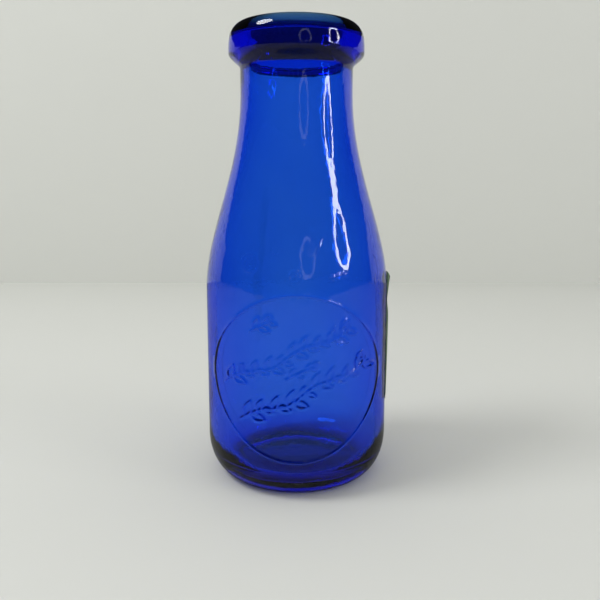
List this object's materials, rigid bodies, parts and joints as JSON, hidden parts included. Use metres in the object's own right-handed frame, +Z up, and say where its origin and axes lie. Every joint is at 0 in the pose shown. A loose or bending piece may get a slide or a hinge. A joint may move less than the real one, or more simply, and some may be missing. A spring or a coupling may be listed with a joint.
{
  "type": "glass milk bottle",
  "caption": "Round cobalt-blue glass milk bottle with a rolled lip, a raised front ring, a loose strip label and a paperboard cap that lifts out by a folding tab.",
  "frame": {"origin": "centre of the base on the standing plane", "axes": "+Z up along the bottle's axis, -Y towards the side with the raised ring, +X towards the label"},
  "size_m": [0.078, 0.0769, 0.184],
  "materials": {
    "cobalt_glass": "clear moulded cobalt-blue glass, polished, with slight mould ripple",
    "label_paper": "matt dark green printed paper with a pale green border line",
    "cap_board": "waxed paperboard, aged",
    "tab_board": "waxed paperboard ply, aged"
  },
  "bodies": {
    "bottle": {"bottle_glass": "cobalt_glass", "side_label": "label_paper"},
    "cap": {"cap_disc": "cap_board"},
    "tab": {"lift_tab": "tab_board"}
  },
  "joints": [
    {"name": "cap_lift", "type": "slide", "parent": "bottle", "child": "cap", "axis": [0, 0, 1], "range_m": [0, 0.05]},
    {"name": "tab_fold", "type": "hinge", "parent": "cap", "child": "tab", "pos_m": [0.003, 0, 0.1802], "axis": [0, -1, 0], "range_deg": [0, 100]}
  ]
}
